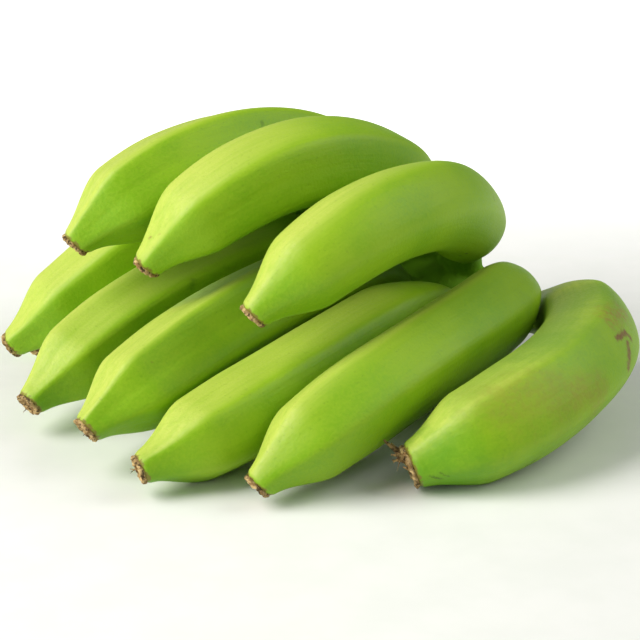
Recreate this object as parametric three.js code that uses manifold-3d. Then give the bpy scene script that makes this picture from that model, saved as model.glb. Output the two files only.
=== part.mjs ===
// A hand of ten unripe green bananas, lying on a table as cut from the bunch.
// Ten fingers grow in two rows out of one woody crown. The crown's cut face and the lowest
// fingers rest on z = 0. The upper fingers arch over the lower ones, and all of them sweep
// towards the same side. Millimetres, +Z up, +X along the longest extent of the hand.

import * as THREE from 'three';
import { mergeVertices } from 'three/addons/utils/BufferGeometryUtils.js';
import Module from 'manifold-3d';

const wasm = await Module();
wasm.setup();

// Finger: a round neck at the crown, a fat body, and a bottle-neck at the blossom end.
const NECK_RADIUS = 7.3;
const BODY_RADIUS = 18.3;
const TIP_RADIUS = 6.3;
const NECK_START = 14;
const NECK_END = 72;
const TIP_TAPER = 38;

// The peel has five soft ridges along the body, which fade out at the neck and the tip.
const RIDGES = 5;
const RIDGE_HEIGHT = 0.06;
const RIDGE_FADE_NECK = [30, 80];
const RIDGE_FADE_TIP = [2, 16];

// Crown: a woody half-dome, cut off flat where it left the stalk.
const CROWN_CENTRE = new THREE.Vector3(46, 62, 4);
const CROWN_HALF_WIDTH = 38;
const CROWN_HALF_DEPTH = 24;
const CROWN_HEIGHT = 36;
const CROWN_HEADING = -22;

// Dried blossom end: a corky disc on each tip.
const BLOSSOM_LENGTH = 3.2;
const CLEARANCE = 0.3;

const FINGER_SIDES = 15;
const FINGER_RINGS = 22;

// Each finger follows a curve of five control points: where it leaves the crown, which way
// its neck, back and belly are pulled, and where its blossom end lies. size scales its
// thickness, and roll turns its ridges round it, in degrees from the middle of its back.
// One finger has a shorter neck, and one a blunter tip.
const FINGERS = [
  { name: 'upper_1', size: 1.0, roll: -22,
    points: [[36, 75, 33], [19, 76, 68], [12, 62, 103], [-48, 8, 115], [-96, -21, 70]] },
  { name: 'upper_2', size: 0.96, roll: -20,
    points: [[49, 71, 35], [47, 64, 72], [32, 10, 109], [-17, -23, 119], [-66, -41, 67]] },
  { name: 'upper_3', size: 0.97, roll: 22, neckEnd: 58,
    points: [[62, 66, 33], [73, 50, 59], [60, -25, 106], [19, -53, 97], [-24, -79, 60]] },
  { name: 'lower_1', size: 0.98, roll: 14,
    points: [[27, 79, 25], [-1, 86, 49], [-29, 76, 104], [-73, 28, 49], [-129, 10, 17]] },
  { name: 'lower_2', size: 0.93, roll: 6,
    points: [[31, 55, 19], [14, 40, 42], [19, 60, 71], [-62, 19, 48], [-113, -48, 13]] },
  { name: 'lower_3', size: 0.96, roll: -26,
    points: [[41, 50, 22], [32, 23, 51], [15, 30, 55], [-41, -43, 46], [-86, -86, 18]] },
  { name: 'lower_4', size: 0.95, roll: -10,
    points: [[51, 46, 19], [65, 14, 39], [43, 17, 42], [-11, -71, 22], [-65, -105, 11]] },
  { name: 'lower_5', size: 0.95, roll: -2,
    points: [[71, 62, 23], [96, 45, 42], [89, -6, 38], [28, -78, 47], [-22, -112, 7]] },
  { name: 'lower_6', size: 1.07, roll: -18, tipRadius: 8.2,
    points: [[77, 60, 11], [105, 50, 24], [136, 12, 31], [110, -86, 38.9], [33, -97, 8.7]] },
  { name: 'back', size: 1.0, roll: 0,
    points: [[22, 80, 11], [-12, 94, 18], [-56, 112, 28], [-108, 100, 30], [-120, 32, 8]] },
];

const peel = new THREE.MeshStandardMaterial({ color: 0x8fbf2f, roughness: 0.42, metalness: 0 });
const crownWood = new THREE.MeshStandardMaterial({ color: 0x8a8a45, roughness: 0.75, metalness: 0 });
const driedBlossom = new THREE.MeshStandardMaterial({ color: 0x8c7350, roughness: 0.95, metalness: 0 });

// The middle line of a finger: one Bezier curve through all its control points.
class FingerCurve extends THREE.Curve {
  constructor(points) {
    super();
    this.points = points.map((point) => new THREE.Vector3(...point));
  }

  getPoint(t, target = new THREE.Vector3()) {
    let points = this.points;
    while (points.length > 1) {
      points = points.slice(1).map((next, i) => points[i].clone().lerp(next, t));
    }
    return target.copy(points[0]);
  }

  // The direction square to the plane that the finger curls in.
  getSideways() {
    const [start, , middle, , end] = this.points;
    const chord = end.clone().sub(start);
    return chord.cross(middle.clone().sub(start)).normalize();
  }
}

function fingerRadius(fromCrown, fromTip, neckEnd, tipRadius) {
  const neck = THREE.MathUtils.smoothstep(fromCrown, NECK_START, neckEnd);
  const tip = THREE.MathUtils.smoothstep(fromTip, 0, TIP_TAPER);
  const neckRadius = THREE.MathUtils.lerp(NECK_RADIUS, BODY_RADIUS, neck);
  return neckRadius * THREE.MathUtils.lerp(tipRadius / BODY_RADIUS, 1, tip);
}

function ridgeFactor(angle, fromCrown, fromTip) {
  const fade = THREE.MathUtils.smoothstep(fromCrown, ...RIDGE_FADE_NECK)
    * THREE.MathUtils.smoothstep(fromTip, ...RIDGE_FADE_TIP);
  return 1 + RIDGE_HEIGHT * fade * Math.cos(RIDGES * angle);
}

// A straight finger is turned on a lathe, then bent: a point at height s above its base goes
// to the place s along the curve, and its distance from the axis is kept.
function fingerGeometry(finger, extra = 0) {
  const { points, size, roll, neckEnd = NECK_END, tipRadius = TIP_RADIUS } = finger;
  const curve = new FingerCurve(points);
  const length = curve.getLength();
  const bodyLength = length - BLOSSOM_LENGTH - CLEARANCE;
  const profile = [new THREE.Vector2(0, 0)];
  for (let ring = 0; ring <= FINGER_RINGS; ring += 1) {
    const s = bodyLength * ring / FINGER_RINGS;
    const radius = size * fingerRadius(s, length - s, neckEnd, tipRadius);
    profile.push(new THREE.Vector2(radius + extra, s));
  }
  profile.push(new THREE.Vector2(0, bodyLength));
  const geometry = new THREE.LatheGeometry(profile, FINGER_SIDES);

  const sideways = curve.getSideways();
  const rollAngle = THREE.MathUtils.degToRad(roll);
  const position = geometry.attributes.position;
  for (let i = 0; i < position.count; i += 1) {
    const s = position.getY(i);
    const angle = Math.atan2(position.getX(i), position.getZ(i));
    const radius = Math.hypot(position.getX(i), position.getZ(i))
      * ridgeFactor(angle - rollAngle, s, length - s);
    const along = curve.getTangentAt(s / length);
    const side = sideways.clone().projectOnPlane(along).normalize();
    const back = side.clone().cross(along);
    const place = curve.getPointAt(s / length)
      .addScaledVector(back, radius * Math.cos(angle))
      .addScaledVector(side, radius * Math.sin(angle));
    position.setXYZ(i, ...place);
  }
  return geometry;
}

function blossomGeometry({ size, tipRadius = TIP_RADIUS }) {
  const radius = size * tipRadius;
  const profile = [
    new THREE.Vector2(0, 0),
    new THREE.Vector2(radius * 0.94, 0),
    new THREE.Vector2(radius, BLOSSOM_LENGTH * 0.4),
    new THREE.Vector2(radius * 0.8, BLOSSOM_LENGTH * 0.85),
    new THREE.Vector2(0, BLOSSOM_LENGTH),
  ];
  return new THREE.LatheGeometry(profile, FINGER_SIDES);
}

function crownGeometry(extra = 0) {
  const dome = new THREE.SphereGeometry(1, 30, 18);
  dome.rotateX(Math.PI / 2);
  dome.scale(CROWN_HALF_WIDTH + extra, CROWN_HALF_DEPTH + extra, CROWN_HEIGHT + extra);
  dome.rotateZ(THREE.MathUtils.degToRad(CROWN_HEADING));
  return dome.translate(...CROWN_CENTRE);
}

function toSolid(geometry) {
  geometry.deleteAttribute('normal');
  geometry.deleteAttribute('uv');
  const merged = mergeVertices(geometry, 1e-4);
  return new wasm.Manifold(new wasm.Mesh({
    numProp: 3,
    vertProperties: new Float32Array(merged.attributes.position.array),
    triVerts: new Uint32Array(merged.index.array),
  }));
}

function toGeometry(solid) {
  const mesh = solid.getMesh();
  const geometry = new THREE.BufferGeometry();
  geometry.setAttribute('position', new THREE.BufferAttribute(mesh.vertProperties, 3));
  geometry.setIndex(new THREE.BufferAttribute(mesh.triVerts, 1));
  geometry.computeVertexNormals();
  return geometry;
}

function addMesh(name, geometry, material) {
  const mesh = new THREE.Mesh(geometry, material);
  mesh.name = name;
  hand.add(mesh);
  return mesh;
}

const hand = new THREE.Group();

// The crown keeps only what is above its flat cut face.
const ground = new THREE.BoxGeometry(200, 200, 100).translate(CROWN_CENTRE.x, CROWN_CENTRE.y, -50);
const crown = toSolid(crownGeometry()).subtract(toSolid(ground));
addMesh('crown', toGeometry(crown), crownWood);

// Each finger's root is hollowed to sit on the crown, and where two fingers press on each
// other the later one is dented by the earlier one.
const pressing = [toSolid(crownGeometry(CLEARANCE))];
for (const finger of FINGERS) {
  const body = pressing.reduce((solid, other) => solid.subtract(other), toSolid(fingerGeometry(finger)));
  addMesh(`finger_${finger.name}`, toGeometry(body), peel);
  pressing.push(toSolid(fingerGeometry(finger, CLEARANCE)));

  const curve = new FingerCurve(finger.points);
  const start = 1 - BLOSSOM_LENGTH / curve.getLength();
  const blossom = addMesh(`blossom_end_${finger.name}`, blossomGeometry(finger), driedBlossom);
  blossom.position.copy(curve.getPointAt(start));
  blossom.quaternion.setFromUnitVectors(new THREE.Vector3(0, 1, 0), curve.getTangentAt(start));
}

export default hand;
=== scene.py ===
"""A hand of ten unripe green bananas, lying on a pale table."""

import math
import random

import bmesh
import bpy
from mathutils import Matrix, Vector, noise
from mathutils.kdtree import KDTree


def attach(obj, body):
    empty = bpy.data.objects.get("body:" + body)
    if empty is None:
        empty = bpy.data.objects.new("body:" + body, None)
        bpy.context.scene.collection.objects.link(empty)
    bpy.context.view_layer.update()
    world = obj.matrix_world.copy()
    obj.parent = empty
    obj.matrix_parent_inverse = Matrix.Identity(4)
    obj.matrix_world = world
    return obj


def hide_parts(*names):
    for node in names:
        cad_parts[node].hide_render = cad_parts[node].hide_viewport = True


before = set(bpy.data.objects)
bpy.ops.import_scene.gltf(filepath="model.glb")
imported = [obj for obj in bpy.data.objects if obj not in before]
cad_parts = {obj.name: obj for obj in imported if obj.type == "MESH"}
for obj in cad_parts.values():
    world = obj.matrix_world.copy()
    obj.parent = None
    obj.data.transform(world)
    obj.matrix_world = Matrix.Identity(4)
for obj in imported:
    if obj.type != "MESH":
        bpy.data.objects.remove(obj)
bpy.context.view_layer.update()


# ---------------------------------------------------------------- fingers
# Each finger is one fruit: a round neck at the crown, a fat body with five soft ridges, and
# a bottle-neck at the blossom end. A tube is drawn out ring by ring, and each ring is then
# swollen, ridged and laid on the finger's own curve.

MM = 0.001
NECK_RADIUS = 7.3 * MM
BODY_RADIUS = 18.3 * MM
TIP_RADIUS = 6.3 * MM
NECK_START = 14 * MM
NECK_END = 72 * MM
# most of the swelling behind the tip comes at the shoulder, and the rest more gently
SHOULDER = (1 * MM, 30 * MM)
SHOULDER_SHARE = 0.8
SHOULDER_EASE = (10 * MM, 55 * MM)

RIDGES = 5
RIDGE_SHARPNESS = 0.88
RIDGE_ROUNDING = math.radians(6.5)
# some fingers are rounder: how much of the ridges they keep
SOFT_RIDGES = {"upper_2": 0.8, "upper_3": 0.3, "lower_4": 0.85, "lower_5": 0.55, "lower_6": 0.5}
# the tips end at a slant, with their front side longest, all but one
END_SLANT = 0.32
STRAIGHT_END = "lower_6"
FRONT = Vector((-0.2, -0.9, 0.35))
# painted highlight: the side facing up and to the left, towards the key lamp, is painted paler
PAINTED_HIGHLIGHT_FACING = Vector((-0.68, -0.2, 0.7))
PRESS_SOFTNESS = 1.2 * MM
FINGER_SIDES = 80
FINGER_RINGS = 150
BLOSSOM_RINGS = 2
CURVE_STEPS = 400

NECK_ENDS = {"upper_3": 58 * MM}
TIP_RADII = {"lower_6": 8.2 * MM}

# name: thickness, roll of the ridges in degrees, and the curve's five control points in mm
FINGERS = {
    "upper_1": (1.00, -22, [(36, 75, 33), (19, 76, 68), (12, 62, 103), (-48, 8, 115), (-96, -21, 70)]),
    "upper_2": (0.96, -20, [(49, 71, 35), (47, 64, 72), (32, 10, 109), (-17, -23, 119), (-66, -41, 67)]),
    "upper_3": (0.97, 22, [(62, 66, 33), (73, 50, 59), (60, -25, 106), (19, -53, 97), (-24, -79, 60)]),
    "lower_1": (0.98, 14, [(27, 79, 25), (-1, 86, 49), (-29, 76, 104), (-73, 28, 49), (-129, 10, 17)]),
    "lower_2": (0.93, 6, [(31, 55, 19), (14, 40, 42), (19, 60, 71), (-62, 19, 48), (-113, -48, 13)]),
    "lower_3": (0.96, -26, [(41, 50, 22), (32, 23, 51), (15, 30, 55), (-41, -43, 46), (-86, -86, 18)]),
    "lower_4": (0.95, -10, [(51, 46, 19), (65, 14, 39), (43, 17, 42), (-11, -71, 22), (-65, -105, 11)]),
    "lower_5": (0.95, -2, [(71, 62, 23), (96, 45, 42), (89, -6, 38), (28, -78, 47), (-22, -112, 7)]),
    "lower_6": (1.07, -18, [(77, 60, 11), (105, 50, 24), (136, 12, 31), (110, -86, 38.9), (33, -97, 8.7)]),
    "back": (1.00, 0, [(22, 80, 11), (-12, 94, 18), (-56, 112, 28), (-108, 100, 30), (-120, 32, 8)]),
}


def smoothstep(value, low, high):
    """0 at low and 1 at high, which may also be the smaller of the two."""
    part = min(max((value - low) / (high - low), 0.0), 1.0)
    return part * part * (3 - 2 * part)


def curve_point(points, t):
    while len(points) > 1:
        points = [a.lerp(b, t) for a, b in zip(points, points[1:])]
    return points[0]


def even_places(points, count):
    """The curve's length, and count + 1 evenly spaced places along it."""
    dense = [curve_point(points, i / CURVE_STEPS) for i in range(CURVE_STEPS + 1)]
    reach = [0.0]
    for a, b in zip(dense, dense[1:]):
        reach.append(reach[-1] + (b - a).length)
    places = []
    spot = 0
    for i in range(count + 1):
        distance = reach[-1] * i / count
        while spot < CURVE_STEPS - 1 and reach[spot + 1] < distance:
            spot += 1
        part = (distance - reach[spot]) / (reach[spot + 1] - reach[spot])
        places.append(dense[spot].lerp(dense[spot + 1], part))
    return reach[-1], places


def cross_frames(points, places):
    """At each place: the direction of the finger's back, its side, and along it."""
    sideways = (points[4] - points[0]).cross(points[2] - points[0]).normalized()
    frames = []
    for i in range(len(places)):
        along = (places[min(i + 1, len(places) - 1)] - places[max(i - 1, 0)]).normalized()
        side = (sideways - along * sideways.dot(along)).normalized()
        frames.append((side.cross(along), side, along))
    return frames


def finger_radius(name, from_crown, from_tip):
    size, _, _ = FINGERS[name]
    tip_radius = TIP_RADII.get(name, TIP_RADIUS)
    neck = smoothstep(from_crown, NECK_START, NECK_ENDS.get(name, NECK_END))
    tip = SHOULDER_SHARE * smoothstep(from_tip, *SHOULDER)
    tip += (1 - SHOULDER_SHARE) * smoothstep(from_tip, *SHOULDER_EASE)
    radius = NECK_RADIUS + (BODY_RADIUS - NECK_RADIUS) * neck
    return size * radius * (tip_radius + (BODY_RADIUS - tip_radius) * tip) / BODY_RADIUS


def ridge_factor(angle, strengths):
    """How far the five-sided section reaches at this angle, against a round one."""
    turn = 2 * math.pi / RIDGES
    nearest = round(angle / turn)
    off = angle - nearest * turn
    strength = strengths[nearest % RIDGES]
    neighbour = strengths[(nearest + (1 if off > 0 else -1)) % RIDGES]
    strength += (neighbour - strength) * abs(off) / turn
    off = math.hypot(off, RIDGE_ROUNDING) - RIDGE_ROUNDING
    flat = math.cos(turn / 2) / math.cos(turn / 2 - off)
    return 1 + strength * RIDGE_SHARPNESS * (flat - 0.905)


def draw_out_tube(bm, sides, rings):
    """A straight open tube of unit radius, as a list of its rings of vertices."""
    tube = [bmesh.ops.create_circle(bm, segments=sides, radius=1.0)["verts"]]
    edges = bm.edges[:][-sides:]
    for _ in range(rings):
        grown = bmesh.ops.extrude_edge_only(bm, edges=edges)["geom"]
        tube.append([part for part in grown if isinstance(part, bmesh.types.BMVert)])
        edges = [part for part in grown if isinstance(part, bmesh.types.BMEdge)]
    return tube


def finish_mesh(bm, name, smooth=True):
    bmesh.ops.recalc_face_normals(bm, faces=bm.faces)
    mesh = bpy.data.meshes.new(name)
    for face in bm.faces:
        face.smooth = smooth
    bm.to_mesh(mesh)
    bm.free()
    piece = bpy.data.objects.new(name, mesh)
    bpy.context.scene.collection.objects.link(piece)
    return piece


def press_back(place, neighbours):
    """Where a finger leans on one that is already there, its peel gives way softly."""
    for tree, radii in neighbours:
        middle, index, distance = tree.find(place)
        depth = (radii[index] - distance) / PRESS_SOFTNESS
        if depth > -5:
            given = PRESS_SOFTNESS * (max(depth, 0.0) + math.log1p(math.exp(-abs(depth))))
            place = middle + (place - middle) * ((distance + given) / distance)
    return place


def finger_piece(name, neighbours):
    _, roll, points_mm = FINGERS[name]
    points = [Vector(point) * MM for point in points_mm]
    length, places = even_places(points, FINGER_RINGS)
    frames = cross_frames(points, places)
    dice = random.Random(name)
    softness = SOFT_RIDGES.get(name, 1.0)
    end_slant = 0.0 if name == STRAIGHT_END else END_SLANT
    strengths = [softness * dice.uniform(0.8, 1.15) for _ in range(RIDGES)]
    seed = Vector((dice.uniform(0, 9), dice.uniform(0, 9), dice.uniform(0, 9)))

    bm = bmesh.new()
    straight = bm.verts.layers.float_vector.new("straight")
    tip_distance = bm.verts.layers.float.new("from_tip")
    ridge_line = bm.verts.layers.float.new("ridge")
    radii = []
    for i, ring in enumerate(draw_out_tube(bm, FINGER_SIDES, FINGER_RINGS - BLOSSOM_RINGS)):
        from_crown = length * i / FINGER_RINGS
        from_tip = length - from_crown
        back, side, along = frames[i]
        plain = finger_radius(name, from_crown, from_tip)
        radii.append(plain)
        lip = 1 - 0.10 * smoothstep(from_tip, 4.4 * MM, 2.6 * MM)
        fade = smoothstep(from_crown, 22 * MM, 75 * MM) * smoothstep(from_tip, -5 * MM, 12 * MM)
        for vertex in ring:
            angle = math.atan2(vertex.co.y, vertex.co.x)
            factor = ridge_factor(angle - math.radians(roll), strengths)
            unevenness = noise.noise(seed + Vector((1.3 * math.cos(angle), 1.3 * math.sin(angle),
                                                    from_crown / (34 * MM))))
            radius = plain * lip * (1 + (factor - 1) * fade + 0.022 * unevenness)
            offset = (back * math.cos(angle) + side * math.sin(angle)) * radius
            vertex[straight] = (radius * math.cos(angle), radius * math.sin(angle), from_crown)
            vertex[tip_distance] = from_tip
            vertex[ridge_line] = softness * fade * max(0.0, math.cos(RIDGES * (angle - math.radians(roll)))) ** 12
            slant = along * end_slant * offset.dot(FRONT) * smoothstep(from_tip, 16 * MM, 2 * MM)
            vertex.co = press_back(places[i] + offset + slant, neighbours)
    bmesh.ops.holes_fill(bm, edges=bm.edges, sides=0)
    bmesh.ops.recalc_face_normals(bm, faces=bm.faces)
    # painted highlight mask: near 1 where the peel faces up and to the left, towards the key lamp
    painted_highlight = bm.verts.layers.float.new("painted_highlight")
    for vertex in bm.verts:
        vertex[painted_highlight] = smoothstep(vertex.normal.dot(PAINTED_HIGHLIGHT_FACING), 0.45, 1.0)
    piece = finish_mesh(bm, f"peel_{name}")

    tree = KDTree(len(radii))
    for i in range(len(radii)):
        tree.insert(places[i], i)
    tree.balance()
    neighbours.append((tree, radii))
    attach(piece, "root")
    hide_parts(f"finger_{name}")
    return piece


fingers = {}
grown_fingers = []
for name in FINGERS:
    fingers[name] = finger_piece(name, grown_fingers)


def srgb(red, green, blue):
    """A paint colour given in 0 to 255 steps, as the linear colour that a shader takes."""
    levels = [channel / 255 for channel in (red, green, blue)]
    linear = [x / 12.92 if x <= 0.04045 else ((x + 0.055) / 1.055) ** 2.4 for x in levels]
    return (*linear, 1.0)


def new_group(name, inputs, outputs):
    """A shader node group with named sockets: its tree, inlet and outlet."""
    tree = bpy.data.node_groups.new(name, "ShaderNodeTree")
    for label, kind, value in inputs:
        socket = tree.interface.new_socket(label, in_out="INPUT", socket_type=kind)
        socket.default_value = value
    for label, kind in outputs:
        tree.interface.new_socket(label, in_out="OUTPUT", socket_type=kind)
    return tree, tree.nodes.new("NodeGroupInput"), tree.nodes.new("NodeGroupOutput")


def wire(tree, node, **links):
    """Sets or links a node's inputs by name; underscores stand for spaces."""
    for label, value in links.items():
        socket = node.inputs[label.replace("_", " ")]
        if isinstance(value, bpy.types.NodeSocket):
            tree.links.new(value, socket)
        else:
            socket.default_value = value
    return node


def noise_mask(tree, vector, scale, low, high, detail=3.0, roughness=0.55):
    """Noise stretched so that low becomes 0 and high becomes 1."""
    speckle = wire(tree, tree.nodes.new("ShaderNodeTexNoise"),
                   Vector=vector, Scale=scale, Detail=detail, Roughness=roughness)
    return remap(tree, speckle.outputs["Fac"], low, high)


def remap(tree, value, low, high, to_low=0.0, to_high=1.0):
    ranged = tree.nodes.new("ShaderNodeMapRange")
    ranged.interpolation_type = "SMOOTHSTEP"
    wire(tree, ranged, Value=value, From_Min=low, From_Max=high, To_Min=to_low, To_Max=to_high)
    return ranged.outputs["Result"]


def mix_colour(tree, factor, under, over, blend="MIX"):
    mixer = tree.nodes.new("ShaderNodeMix")
    mixer.data_type = "RGBA"
    mixer.blend_type = blend
    for socket, value in ((mixer.inputs[0], factor), (mixer.inputs[6], under), (mixer.inputs[7], over)):
        if isinstance(value, bpy.types.NodeSocket):
            tree.links.new(value, socket)
        else:
            socket.default_value = value
    return mixer.outputs[2]


def maths(tree, operation, *values):
    node = tree.nodes.new("ShaderNodeMath")
    node.operation = operation
    for socket, value in zip(node.inputs, values):
        if isinstance(value, bpy.types.NodeSocket):
            tree.links.new(value, socket)
        else:
            socket.default_value = value
    return node.outputs[0]


def attribute(tree, name, output):
    node = tree.nodes.new("ShaderNodeAttribute")
    node.attribute_name = name
    return node.outputs[output]


def new_material(name):
    material = bpy.data.materials.new(name)
    material.use_nodes = True
    tree = material.node_tree
    return material, tree, tree.nodes["Principled BSDF"]


def vector_maths(tree, operation, *values, output=0):
    node = tree.nodes.new("ShaderNodeVectorMath")
    node.operation = operation
    for socket, value in zip(node.inputs, values):
        tree.links.new(value, socket)
    return node.outputs[output]


def stroke_group():
    """A ragged stroke from one place to another: 1 on it and 0 away from it."""
    tree, inlet, outlet = new_group("stroke", [
        ("Place", "NodeSocketVector", (0, 0, 0)), ("Start", "NodeSocketVector", (0, 0, 0)),
        ("End", "NodeSocketVector", (0, 0, 0)), ("Width", "NodeSocketFloat", 0.001),
        ("Break-up", "NodeSocketFloat", 0.0)], [("Mask", "NodeSocketFloat")])
    place, start, end, width, break_up, _ = inlet.outputs
    run = vector_maths(tree, "SUBTRACT", end, start)
    reach = vector_maths(tree, "SUBTRACT", place, start)
    share = maths(tree, "DIVIDE", vector_maths(tree, "DOT_PRODUCT", reach, run, output=1),
                  vector_maths(tree, "DOT_PRODUCT", run, run, output=1))
    share = maths(tree, "MINIMUM", maths(tree, "MAXIMUM", share, 0.0), 1.0)
    along = tree.nodes.new("ShaderNodeVectorMath")
    along.operation = "MULTIPLY_ADD"
    tree.links.new(run, along.inputs[0])
    tree.links.new(share, along.inputs[1])
    tree.links.new(start, along.inputs[2])
    away = maths(tree, "DIVIDE", vector_maths(tree, "DISTANCE", place, along.outputs[0], output=1), width)
    ragged = noise_mask(tree, place, maths(tree, "DIVIDE", 1.1, width), 0.0, 1.0, detail=4.0, roughness=0.65)
    away = maths(tree, "ADD", away, maths(tree, "MULTIPLY", maths(tree, "SUBTRACT", ragged, 0.5), 1.3))
    mask = remap(tree, away, 0.1, 1.05, 1.0, 0.0)
    flecks = noise_mask(tree, place, 480, 0.42, 0.58, detail=3.0)
    thinned = maths(tree, "SUBTRACT", 1.0, maths(tree, "MULTIPLY", flecks, break_up))
    tree.links.new(maths(tree, "MULTIPLY", mask, thinned), outlet.inputs["Mask"])
    return tree


# Peel: waxy and satin, yellow-green on the body and a deeper green at neck and tip, with pale
# ridge lines, fine freckles and faint fibres running along the finger.

PEEL_BODY = srgb(138, 180, 16)
PEEL_LUSH = srgb(120, 169, 6)
PEEL_PALE = srgb(160, 191, 40)
PEEL_RIDGE = srgb(170, 200, 44)
# painted highlight colour for the side of the peel that faces the key lamp
PEEL_PAINTED_HIGHLIGHT = srgb(190, 200, 92)
PEEL_END = srgb(106, 158, 8)
PEEL_FRECKLE = srgb(94, 126, 16)
PEEL_SCAB = srgb(120, 96, 44)
SCAR = srgb(120, 88, 36)
RUSSET = srgb(150, 124, 50)
BRUISE = srgb(44, 70, 12)
# painted shade: a darker green for the undersides of tips that lie in shade
PAINTED_SHADE_GREEN = srgb(84, 146, 4)
# a grey-green waxy bloom, darkened further as painted shade
BLOOM_AND_PAINTED_SHADE = srgb(104, 146, 50)
# a pale waxy bloom, lightened further as painted light
PALE_BLOOM_AND_PAINTED_LIGHT = srgb(148, 178, 100)

# colour, strength, break-up and width in mm of each mark, and where it starts and ends in mm
MARKS = [
    # on lower_6's top: a waxy bloom, and painted shade where lower_5 and upper_3 keep the light off it
    (BLOOM_AND_PAINTED_SHADE, 0.6, 0.0, 24, (108, -10, 46), (86, -60, 43)),
    (BLOOM_AND_PAINTED_SHADE, 0.4, 0.0, 18, (86, -60, 43), (58, -90, 36)),
    # painted shade on the undersides of the tips of lower_6, lower_4, lower_2 and lower_3
    (PAINTED_SHADE_GREEN, 0.7, 0.0, 20, (36, -98, 8), (52, -97, 12)),
    (PAINTED_SHADE_GREEN, 0.5, 0.0, 13, (-64, -108, 6), (-54, -104, 6)),
    (PAINTED_SHADE_GREEN, 0.5, 0.0, 11, (-112, -52, 10), (-104, -50, 14)),
    (PAINTED_SHADE_GREEN, 0.4, 0.0, 12, (-86, -92, 14), (-78, -92, 16)),
    # on lower_3's top under upper_2: a pale waxy bloom, and painted light where upper_2 shades it
    (PALE_BLOOM_AND_PAINTED_LIGHT, 0.7, 0.0, 14, (-20, -8, 58), (-46, -30, 56)),
    (RUSSET, 0.34, 0.4, 18, (68, -96, 36), (88, -88, 33)),
    (RUSSET, 0.40, 0.4, 12, (100, -78, 33), (105, -74, 30)),
    (RUSSET, 0.65, 0.7, 8, (114, -38, 46), (122, -22, 44)),
    (SCAR, 1.0, 0.2, 2.1, (116.8, -45.7, 40.8), (121.6, -35.3, 39.9)),
    (SCAR, 1.0, 0.2, 2.1, (121.6, -35.3, 39.9), (124.4, -33.7, 36.5)),
    (SCAR, 0.95, 0.2, 2.6, (122.2, -39.8, 36.6), (122.0, -44.7, 33.4)),
    (SCAR, 0.90, 0.4, 2.4, (122.0, -44.7, 33.4), (120.9, -50.0, 30.4)),
    (BRUISE, 0.75, 0.4, 0.9, (41.7, -105.8, 9.4), (46.5, -104.5, 7.6)),
    (BRUISE, 0.65, 0.4, 0.8, (45.5, -105.5, 11.0), (48.5, -105.0, 9.5)),
    (BRUISE, 0.8, 0.0, 1.3, (78.9, -89.6, 6.6), (81.4, -89.7, 8.6)),
    (BRUISE, 0.8, 0.2, 0.9, (61.5, 2.0, 60.5), (66.0, 12.0, 62.0)),
    (BRUISE, 0.7, 0.2, 0.8, (58.5, 3.0, 58.9), (61.5, 9.0, 58.5)),
    (BRUISE, 0.6, 0.2, 0.7, (71.0, 7.5, 86.8), (72.2, 2.1, 83.2)),
    (BRUISE, 0.45, 0.2, 1.5, (-21.7, 20.5, 110.7), (-22.5, 19.5, 108.5)),
    (BRUISE, 0.35, 0.2, 2.4, (-49.5, -5.8, 51.0), (-50.5, -6.5, 49.0)),
    (SCAR, 0.6, 0.2, 0.9, (-62.9, -41.3, 80.1), (-62.5, -41.8, 80.6)),
    (SCAR, 0.5, 0.2, 0.8, (-59.0, -44.0, 82.0), (-58.5, -44.3, 82.5)),
    (SCAR, 0.5, 0.2, 0.8, (-95.3, -24.8, 42.5), (-94.8, -24.8, 42.5)),
    (SCAR, 0.5, 0.2, 0.7, (-60.4, -73.9, 41.8), (-60.0, -73.9, 41.8)),
]

peel, tree, shader = new_material("peel_green")
straight = attribute(tree, "straight", "Vector")
from_tip = attribute(tree, "from_tip", "Fac")
ridge = attribute(tree, "ridge", "Fac")
painted_highlight = attribute(tree, "painted_highlight", "Fac")
place = tree.nodes.new("ShaderNodeTexCoord").outputs["Object"]
along = tree.nodes.new("ShaderNodeSeparateXYZ")
tree.links.new(straight, along.inputs[0])

stretch = tree.nodes.new("ShaderNodeMapping")
wire(tree, stretch, Vector=straight, Scale=(1.0, 1.0, 0.06))
clouds = noise_mask(tree, place, 26, 0.38, 0.66)
pale_clouds = noise_mask(tree, place, 17, 0.50, 0.72, detail=5.0)
fibres = noise_mask(tree, stretch.outputs[0], 420, 0.35, 0.70, detail=4.0)
freckles = noise_mask(tree, place, 700, 0.62, 0.72, detail=2.0)
grain = noise_mask(tree, place, 850, 0.30, 0.70, detail=3.0)
torn_edge = noise_mask(tree, place, 500, 0.3, 0.7)

colour = mix_colour(tree, clouds, PEEL_BODY, PEEL_LUSH)
colour = mix_colour(tree, maths(tree, "MULTIPLY", pale_clouds, 0.3), colour, PEEL_PALE)
colour = mix_colour(tree, maths(tree, "MULTIPLY", ridge, 0.28), colour, PEEL_RIDGE)
tip_green = remap(tree, from_tip, 0.006, 0.030, 0.55, 0.0)
neck_green = remap(tree, along.outputs["Z"], 0.015, 0.055, 0.6, 0.0)
colour = mix_colour(tree, maths(tree, "MAXIMUM", tip_green, neck_green), colour, PEEL_END)
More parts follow.
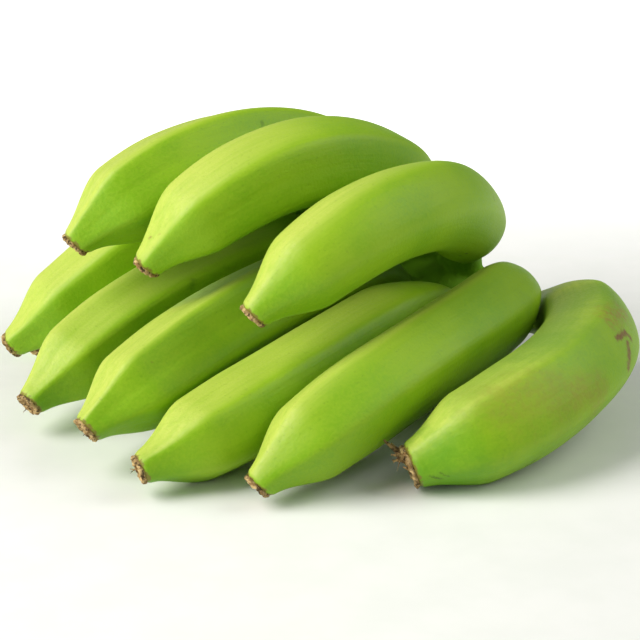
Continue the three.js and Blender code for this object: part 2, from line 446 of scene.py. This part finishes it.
# painted highlight: the peel is painted paler where it faces the key lamp
colour = mix_colour(tree, maths(tree, "MULTIPLY", painted_highlight, 0.85), colour, PEEL_PAINTED_HIGHLIGHT)
colour = mix_colour(tree, maths(tree, "MULTIPLY", fibres, 0.30), colour, PEEL_LUSH)
colour = mix_colour(tree, maths(tree, "MULTIPLY", grain, 0.24), colour, PEEL_PALE)
colour = mix_colour(tree, maths(tree, "MULTIPLY", freckles, 0.20), colour, PEEL_FRECKLE)
stroke = stroke_group()
for paint, strength, break_up, width, start, end in MARKS:
    mark = tree.nodes.new("ShaderNodeGroup")
    mark.node_tree = stroke
    wire(tree, mark, Place=place, Start=Vector(start) * MM, End=Vector(end) * MM, Width=width * MM)
    mark.inputs["Break-up"].default_value = break_up
    colour = mix_colour(tree, maths(tree, "MULTIPLY", mark.outputs["Mask"], strength), colour, paint)
scab = remap(tree, maths(tree, "SUBTRACT", from_tip, maths(tree, "MULTIPLY", torn_edge, 0.0016)),
             0.0022, 0.0030, 0.8, 0.0)
colour = mix_colour(tree, scab, colour, PEEL_SCAB)
tree.links.new(colour, shader.inputs["Base Color"])
tree.links.new(remap(tree, grain, 0.0, 1.0, 0.46, 0.56), shader.inputs["Roughness"])
shader.inputs["Specular IOR Level"].default_value = 0.32
height = maths(tree, "ADD", maths(tree, "MULTIPLY", grain, 0.7), fibres)
bump = wire(tree, tree.nodes.new("ShaderNodeBump"), Strength=0.14, Distance=0.0005, Height=height)
tree.links.new(bump.outputs[0], shader.inputs["Normal"])
for piece in fingers.values():
    piece.data.materials.append(peel)


# ---------------------------------------------------------------- dried blossom ends
# What is left of the flower on each tip: a torn corky disc, hollow in the middle, with a few
# dark threads. Each is a small cap drawn out of a ring, then roughened.

CORK_SIDES = 48
# share of the tip's radius, and height in mm above the tip's end
CORK_STEPS = [(0.80, -3.4), (0.90, -2.7), (0.94, -2.1), (0.92, -1.5), (0.84, -1.1), (0.74, -1.2),
              (0.62, -1.7), (0.48, -2.2), (0.32, -2.4), (0.18, -2.1), (0.06, -1.9)]
# number of withered threads, their size, and which way they lean
THREADS = {"lower_6": (13, 3.0, Vector((-0.75, -0.1, 0.9))), "lower_4": (4, 1.0, Vector((-0.6, 0, 0.2))),
           "lower_2": (2, 0.9, Vector()), "upper_2": (3, 0.9, Vector())}
THREAD_RINGS = 7


def add_thread(bm, hollow, dice, end, axes, radius, size, wind):
    """One withered thread of the old flower: a thin curled strip growing out of the cork."""
    back, side, along_tip = axes
    angle = dice.uniform(0, 2 * math.pi)
    outward = back * math.cos(angle) + side * math.sin(angle)
    if outward.dot(wind) < 0:
        outward = -outward
    lean = (along_tip + outward * dice.uniform(0.0, 1.0) + wind * dice.uniform(0.2, 1.4)).normalized()
    curl = (back * dice.uniform(-1, 1) + side * dice.uniform(-1, 1)) * 0.9
    tall = size * dice.uniform(1.4, 3.0) * MM
    thick = size * dice.uniform(0.25, 0.5) * MM
    root = end + outward * radius * dice.uniform(0.1, 0.8) - along_tip * 2.6 * MM
    flat = lean.orthogonal().normalized()
    thin = lean.cross(flat)
    for i, ring in enumerate(draw_out_tube(bm, 8, THREAD_RINGS)):
        part = i / THREAD_RINGS
        middle = root + (lean * part + curl * part * part) * tall
        for vertex in ring:
            angle = math.atan2(vertex.co.y, vertex.co.x)
            reach = thick * (1 - 0.7 * part) * (1 + 0.3 * math.sin(3 * angle + 7 * part))
            vertex.co = middle + (flat * math.cos(angle) + thin * 0.45 * math.sin(angle)) * reach
            vertex[hollow] = 0.75


def blossom_piece(name):
    _, _, points_mm = FINGERS[name]
    points = [Vector(point) * MM for point in points_mm]
    length, places = even_places(points, FINGER_RINGS)
    back, side, along_tip = cross_frames(points, places)[-2]
    radius = finger_radius(name, length, 0)
    end_slant = 0.0 if name == STRAIGHT_END else END_SLANT
    dice = random.Random(f"cork_{name}")
    seed = Vector((dice.uniform(0, 9), dice.uniform(0, 9), dice.uniform(0, 9)))
    bm = bmesh.new()
    hollow = bm.verts.layers.float.new("hollow")
    for (share, height), ring in zip(CORK_STEPS, draw_out_tube(bm, CORK_SIDES, len(CORK_STEPS) - 1)):
        for vertex in ring:
            angle = math.atan2(vertex.co.y, vertex.co.x)
            spot = seed + Vector((math.cos(angle) * share * 3, math.sin(angle) * share * 3, height * 0.4))
            torn = noise.noise(spot * 1.6) * 1.1 + noise.noise(spot * 4.0) * 0.8
            reach = radius * share * (1 + 0.08 * noise.noise(spot * 1.5))
            offset = (back * math.cos(angle) + side * math.sin(angle)) * reach
            lift = height * MM + (0.55 * MM * torn if height > -2.6 else 0.0)
            lift += end_slant * offset.dot(FRONT)
            vertex[hollow] = smoothstep(share, 0.80, 0.35)
            vertex.co = places[-1] + along_tip * lift + offset
    count, thread_size, wind = THREADS.get(name, (1, 0.8, Vector()))
    for _ in range(count):
        add_thread(bm, hollow, dice, places[-1], (back, side, along_tip), radius, thread_size, wind)
    bmesh.ops.holes_fill(bm, edges=bm.edges, sides=0)
    piece = finish_mesh(bm, f"cork_{name}")
    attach(piece, "root")
    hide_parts(f"blossom_end_{name}")
    return piece


corks = [blossom_piece(name) for name in FINGERS]

CORK_TAN = srgb(204, 176, 122)
CORK_BROWN = srgb(136, 106, 64)
CORK_DARK = srgb(48, 38, 24)

cork, tree, shader = new_material("dried_cork")
place = tree.nodes.new("ShaderNodeTexCoord").outputs["Object"]
hollow = attribute(tree, "hollow", "Fac")
patches = noise_mask(tree, place, 520, 0.36, 0.64, detail=5.0)
pits = noise_mask(tree, place, 700, 0.50, 0.62, detail=3.0)
colour = mix_colour(tree, patches, CORK_TAN, CORK_BROWN)
colour = mix_colour(tree, maths(tree, "MULTIPLY", hollow, 0.7), colour, CORK_BROWN)
colour = mix_colour(tree, maths(tree, "MULTIPLY", pits, 0.85), colour, CORK_DARK)
tree.links.new(colour, shader.inputs["Base Color"])
shader.inputs["Roughness"].default_value = 0.9
shader.inputs["Specular IOR Level"].default_value = 0.2
bump = wire(tree, tree.nodes.new("ShaderNodeBump"), Strength=0.6, Distance=0.0006, Height=patches)
tree.links.new(bump.outputs[0], shader.inputs["Normal"])
for piece in corks:
    piece.data.materials.append(cork)


# ---------------------------------------------------------------- crown
# The woody pad that the fingers grow from. Its dome and the roots of the necks are joined into
# one skin by a fine remesh, and its flat cut face lies on the table.

CROWN_CENTRE = Vector((46, 62, 4)) * MM
CROWN_HALF = Vector((38, 24, 36)) * MM
CROWN_HEADING = math.radians(-22)
ROOT_LENGTH = 24 * MM
ROOT_FLARE = 4.5 * MM

bm = bmesh.new()
bmesh.ops.create_uvsphere(bm, u_segments=48, v_segments=32, radius=1.0)
bmesh.ops.transform(bm, verts=bm.verts, matrix=Matrix.LocRotScale(
    CROWN_CENTRE, Matrix.Rotation(CROWN_HEADING, 3, "Z"), CROWN_HALF))
below = bm.verts[:] + bm.edges[:] + bm.faces[:]
bmesh.ops.bisect_plane(bm, geom=below, plane_co=(0, 0, 0), plane_no=(0, 0, 1), clear_inner=True)
bmesh.ops.holes_fill(bm, edges=[edge for edge in bm.edges if edge.is_boundary], sides=0)
for name, (_, _, points_mm) in FINGERS.items():
    points = [Vector(point) * MM for point in points_mm]
    length, places = even_places(points, FINGER_RINGS)
    frames = cross_frames(points, places)
    root = bmesh.new()
    rings = int(FINGER_RINGS * ROOT_LENGTH / length)
    for i, ring in enumerate(draw_out_tube(root, 24, rings)):
        from_crown = length * i / FINGER_RINGS
        swelling = ROOT_FLARE * (1 - smoothstep(from_crown, 0, ROOT_LENGTH)) - 0.4 * MM
        reach = finger_radius(name, from_crown, length - from_crown) + swelling
        back, side, _ = frames[i]
        for vertex in ring:
            angle = math.atan2(vertex.co.y, vertex.co.x)
            vertex.co = places[i] + (back * math.cos(angle) + side * math.sin(angle)) * reach
    bmesh.ops.holes_fill(root, edges=root.edges, sides=0)
    bmesh.ops.recalc_face_normals(root, faces=root.faces)
    scrap = bpy.data.meshes.new("root")
    root.to_mesh(scrap)
    root.free()
    bm.from_mesh(scrap)
    bpy.data.meshes.remove(scrap)
crown = finish_mesh(bm, "crown_pad")
remesh = crown.modifiers.new("join", "REMESH")
remesh.mode = "VOXEL"
remesh.voxel_size = 1.0 * MM
remesh.use_smooth_shade = True
smooth = crown.modifiers.new("soften", "SMOOTH")
smooth.iterations = 8
graph = bpy.context.evaluated_depsgraph_get()
joined = bpy.data.meshes.new_from_object(crown.evaluated_get(graph))
crown.modifiers.clear()
crown.data = joined
for vertex in crown.data.vertices:
    vertex.co.z = max(vertex.co.z, 0.0)
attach(crown, "root")
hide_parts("crown")

CROWN_GREEN = srgb(104, 154, 12)
CROWN_TAN = srgb(128, 152, 34)
CROWN_BROWN = srgb(92, 66, 38)

crown_skin, tree, shader = new_material("crown_skin")
place = tree.nodes.new("ShaderNodeTexCoord").outputs["Object"]
height = tree.nodes.new("ShaderNodeSeparateXYZ")
tree.links.new(place, height.inputs[0])
clouds = noise_mask(tree, place, 60, 0.35, 0.65, detail=5.0)
stains = noise_mask(tree, place, 130, 0.50, 0.62, detail=6.0)
colour = mix_colour(tree, clouds, CROWN_GREEN, CROWN_TAN)
low = remap(tree, height.outputs["Z"], 0.0, 0.014, 1.0, 0.0)
colour = mix_colour(tree, low, CROWN_GREEN, colour)
colour = mix_colour(tree, maths(tree, "MULTIPLY", stains, low), colour, CROWN_BROWN)
tree.links.new(colour, shader.inputs["Base Color"])
shader.inputs["Roughness"].default_value = 0.75
shader.inputs["Specular IOR Level"].default_value = 0.2
bump = wire(tree, tree.nodes.new("ShaderNodeBump"), Strength=0.4, Distance=0.0008, Height=stains)
tree.links.new(bump.outputs[0], shader.inputs["Normal"])
crown.data.materials.clear()
crown.data.materials.append(crown_skin)


# ---------------------------------------------------------------- table, light and camera
# A wide pale table that glows towards its far side, a broad soft lamp high on the left with
# a weaker one below it, one on the right, and the camera a little above the fruit.

TABLE_HALF = 4.0
bm = bmesh.new()
bmesh.ops.create_grid(bm, x_segments=1, y_segments=1, size=TABLE_HALF)
table = finish_mesh(bm, "table", smooth=False)
table_paint, tree, shader = new_material("table_paint")
place = tree.nodes.new("ShaderNodeTexCoord").outputs["Object"]
mottle = noise_mask(tree, place, 40, 0.3, 0.7)
colour = mix_colour(tree, mottle, srgb(240, 241, 238), srgb(236, 238, 234))
tree.links.new(colour, shader.inputs["Base Color"])
shader.inputs["Roughness"].default_value = 0.5
distance = tree.nodes.new("ShaderNodeSeparateXYZ")
tree.links.new(place, distance.inputs[0])
shader.inputs["Emission Strength"].default_value = 1.0
glow = remap(tree, distance.outputs["Y"], 0.06, 0.55)
tree.links.new(mix_colour(tree, glow, (0, 0, 0, 1), (0.7, 0.7, 0.7, 1)), shader.inputs["Emission Color"])
table.data.materials.append(table_paint)


def add_lamp(name, direction, distance, size, power, colour):
    lamp = bpy.data.lights.new(name, "AREA")
    lamp.shape = "DISK"
    lamp.size = size
    lamp.energy = power
    lamp.color = colour
    holder = bpy.data.objects.new(name, lamp)
    aim = Vector(direction).normalized()
    holder.location = LOOK_AT + aim * distance
    holder.rotation_euler = aim.to_track_quat("Z", "Y").to_euler()
    bpy.context.scene.collection.objects.link(holder)


LOOK_AT = Vector((2, 0, 32.7)) * MM
CAMERA_DISTANCE = 0.75
CAMERA_ELEVATION = math.radians(19.1)
CAMERA_LENS = 102.5

add_lamp("key", (-0.70, -0.24, 0.68), 1.5, 1.2, 26, (1.0, 0.98, 0.94))
add_lamp("left", (-0.76, -0.62, 0.22), 1.5, 1.0, 7.5, (1.0, 0.99, 0.95))
add_lamp("right", (0.80, 0.02, 0.60), 2.0, 1.6, 18, (1.0, 0.99, 0.97))

world = bpy.data.worlds.new("studio")
world.use_nodes = True
world.node_tree.nodes["Background"].inputs["Color"].default_value = (1, 1, 1, 1)
world.node_tree.nodes["Background"].inputs["Strength"].default_value = 0.21
bpy.context.scene.world = world
bpy.context.scene.view_settings.view_transform = "Standard"

camera_data = bpy.data.cameras.new("camera")
camera_data.lens = CAMERA_LENS
camera = bpy.data.objects.new("camera", camera_data)
toward = Vector((0, -math.cos(CAMERA_ELEVATION), math.sin(CAMERA_ELEVATION)))
camera.location = LOOK_AT + toward * CAMERA_DISTANCE
camera.rotation_euler = toward.to_track_quat("Z", "Y").to_euler()
bpy.context.scene.collection.objects.link(camera)
bpy.context.scene.camera = camera
